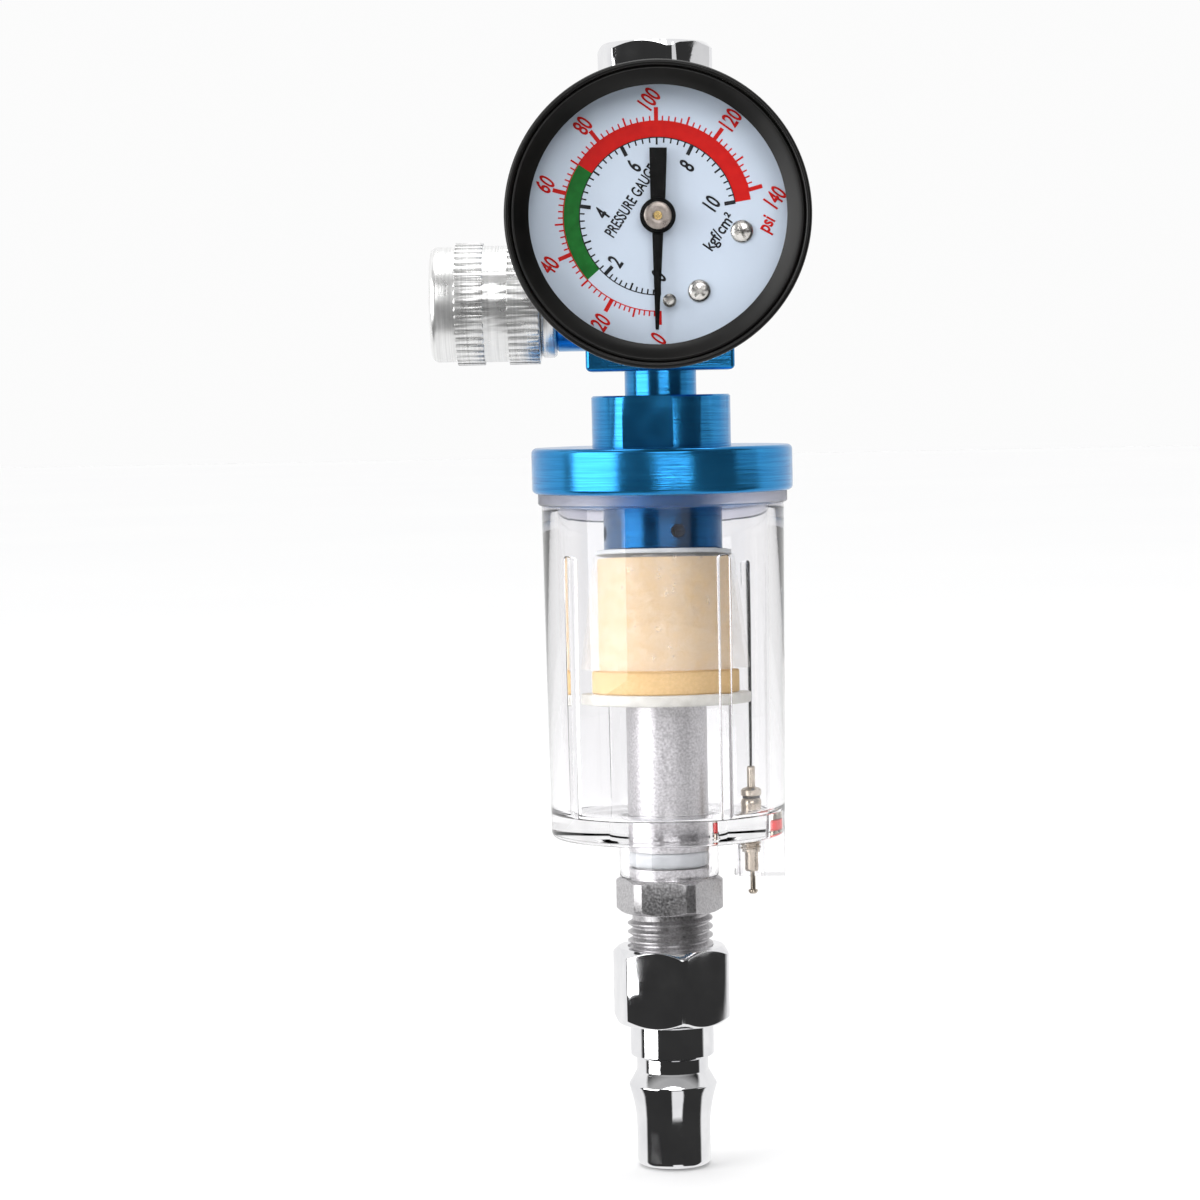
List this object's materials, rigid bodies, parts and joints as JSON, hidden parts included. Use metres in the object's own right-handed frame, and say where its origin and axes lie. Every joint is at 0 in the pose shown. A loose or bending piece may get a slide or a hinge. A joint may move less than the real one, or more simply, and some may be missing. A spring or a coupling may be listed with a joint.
{
  "type": "in-line air regulator with gauge and water trap",
  "caption": "In-line air regulator: swivel nut, blue block with throttle knob and pressure gauge, clear water-trap bowl with filter and drain valve, and a quick plug.",
  "frame": {"origin": "mouth of the swivel nut's threaded hole, on the air path", "axes": "+Z out of the swivel nut along the air path, the gauge faces -Y and the knob points along -X; the quick plug is at the bottom"},
  "size_m": [0.0567, 0.065, 0.1723],
  "materials": {
    "chrome_plate": "bright chrome plate on brass",
    "nickel_brass": "nickel-plated brass",
    "bright_aluminium": "turned and clear anodised",
    "steel": "bright",
    "black_rubber": "smooth",
    "white_nylon": "smooth",
    "blue_anodised": "bright blue anodised",
    "sealing_fibre": "red-brown fibre",
    "brass": "turned brass",
    "black_enamel": "satin black paint on steel",
    "black_gloss": "gloss black",
    "dial_print": "white printed dial with a coloured band",
    "pointer_black": "satin black",
    "clear_lens": "clear flat window",
    "clear_bowl": "clear moulded polycarbonate",
    "milky_shroud": "milky translucent",
    "sintered_element": "porous, cream",
    "zinc_plate": "zinc plated steel tube",
    "red_seal": "smooth"
  },
  "bodies": {
    "housing": {"swivel_tail": "nickel_brass", "tail_washer": "white_nylon", "regulator_body": "blue_anodised", "valve_seat": "white_nylon", "gland": "bright_aluminium", "gauge_washer": "sealing_fibre", "gauge_socket": "brass", "gauge_case": "black_enamel", "case_screws": "steel", "bourdon_tube": "brass", "bourdon_tip": "brass", "movement_back_plate": "brass", "movement_screws": "steel", "movement_pillars": "brass", "movement_front_plate": "brass", "hairspring": "brass", "dial_posts": "brass", "gauge_dial": "dial_print", "dial_screws": "steel", "zero_stop_pin": "steel", "lens_gasket": "black_rubber", "gauge_lens": "clear_lens", "gauge_bezel": "black_gloss", "filter_cap": "blue_anodised", "cap_o_ring": "black_rubber", "bowl": "clear_bowl", "filter_washer": "white_nylon", "filter_shroud": "milky_shroud", "filter_element": "sintered_element", "baffle_disc": "white_nylon", "tie_tube": "zinc_plate", "neck_seal": "white_nylon", "drain_body": "nickel_brass", "drain_seal": "red_seal", "drain_spring": "steel", "quick_plug": "chrome_plate", "plug_washer": "sealing_fibre"},
    "swivel": {"swivel_nut": "chrome_plate"},
    "throttle": {"throttle_piston": "nickel_brass", "piston_o_ring": "black_rubber"},
    "knob_group": {"valve_spindle": "steel", "knob": "bright_aluminium", "knob_screw": "steel"},
    "pointer_group": {"pinion_shaft": "brass", "pointer": "pointer_black", "pointer_hub": "pointer_black"},
    "sector": {"sector_gear": "brass"},
    "link": {"link_rod": "brass"},
    "drain": {"drain_pin": "nickel_brass", "drain_poppet_seal": "black_rubber"}
  },
  "joints": [
    {"name": "nut_turn", "type": "hinge", "parent": "housing", "child": "swivel", "pos_m": [0, 0, 0], "axis": [0, 0, 1], "continuous": true},
    {"name": "throttle_slide", "type": "slide", "parent": "housing", "child": "throttle", "axis": [-1, 0, 0], "range_m": [0, 0.0035]},
    {"name": "knob_turn", "type": "hinge", "parent": "throttle", "child": "knob_group", "pos_m": [0, 0, -0.039], "axis": [-1, 0, 0], "range_deg": [0, 1260]},
    {"name": "pointer_turn", "type": "hinge", "parent": "housing", "child": "pointer_group", "pos_m": [0, 0, -0.028], "axis": [0, 1, 0], "range_deg": [0, 255]},
    {"name": "sector_turn", "type": "hinge", "parent": "housing", "child": "sector", "pos_m": [0.00299, 0, -0.03838], "axis": [0, 1, 0], "range_deg": [-32, 0]},
    {"name": "link_turn", "type": "hinge", "parent": "sector", "child": "link", "pos_m": [0.01087, 0, -0.03977], "axis": [0, 1, 0], "range_deg": [0, 32]},
    {"name": "drain_push", "type": "slide", "parent": "housing", "child": "drain", "axis": [0, 0, 1], "range_m": [0, 0.0012], "stiffness_N_per_m": 300, "springref_m": -0.0012, "deforming": ["drain_spring"]}
  ],
  "couplings": [
    {"joint": "knob_turn", "follows": "throttle_slide", "rad_per_m": 6283.2},
    {"joint": "sector_turn", "follows": "pointer_turn", "ratio": -0.125},
    {"joint": "link_turn", "follows": "pointer_turn", "ratio": 0.125}
  ]
}
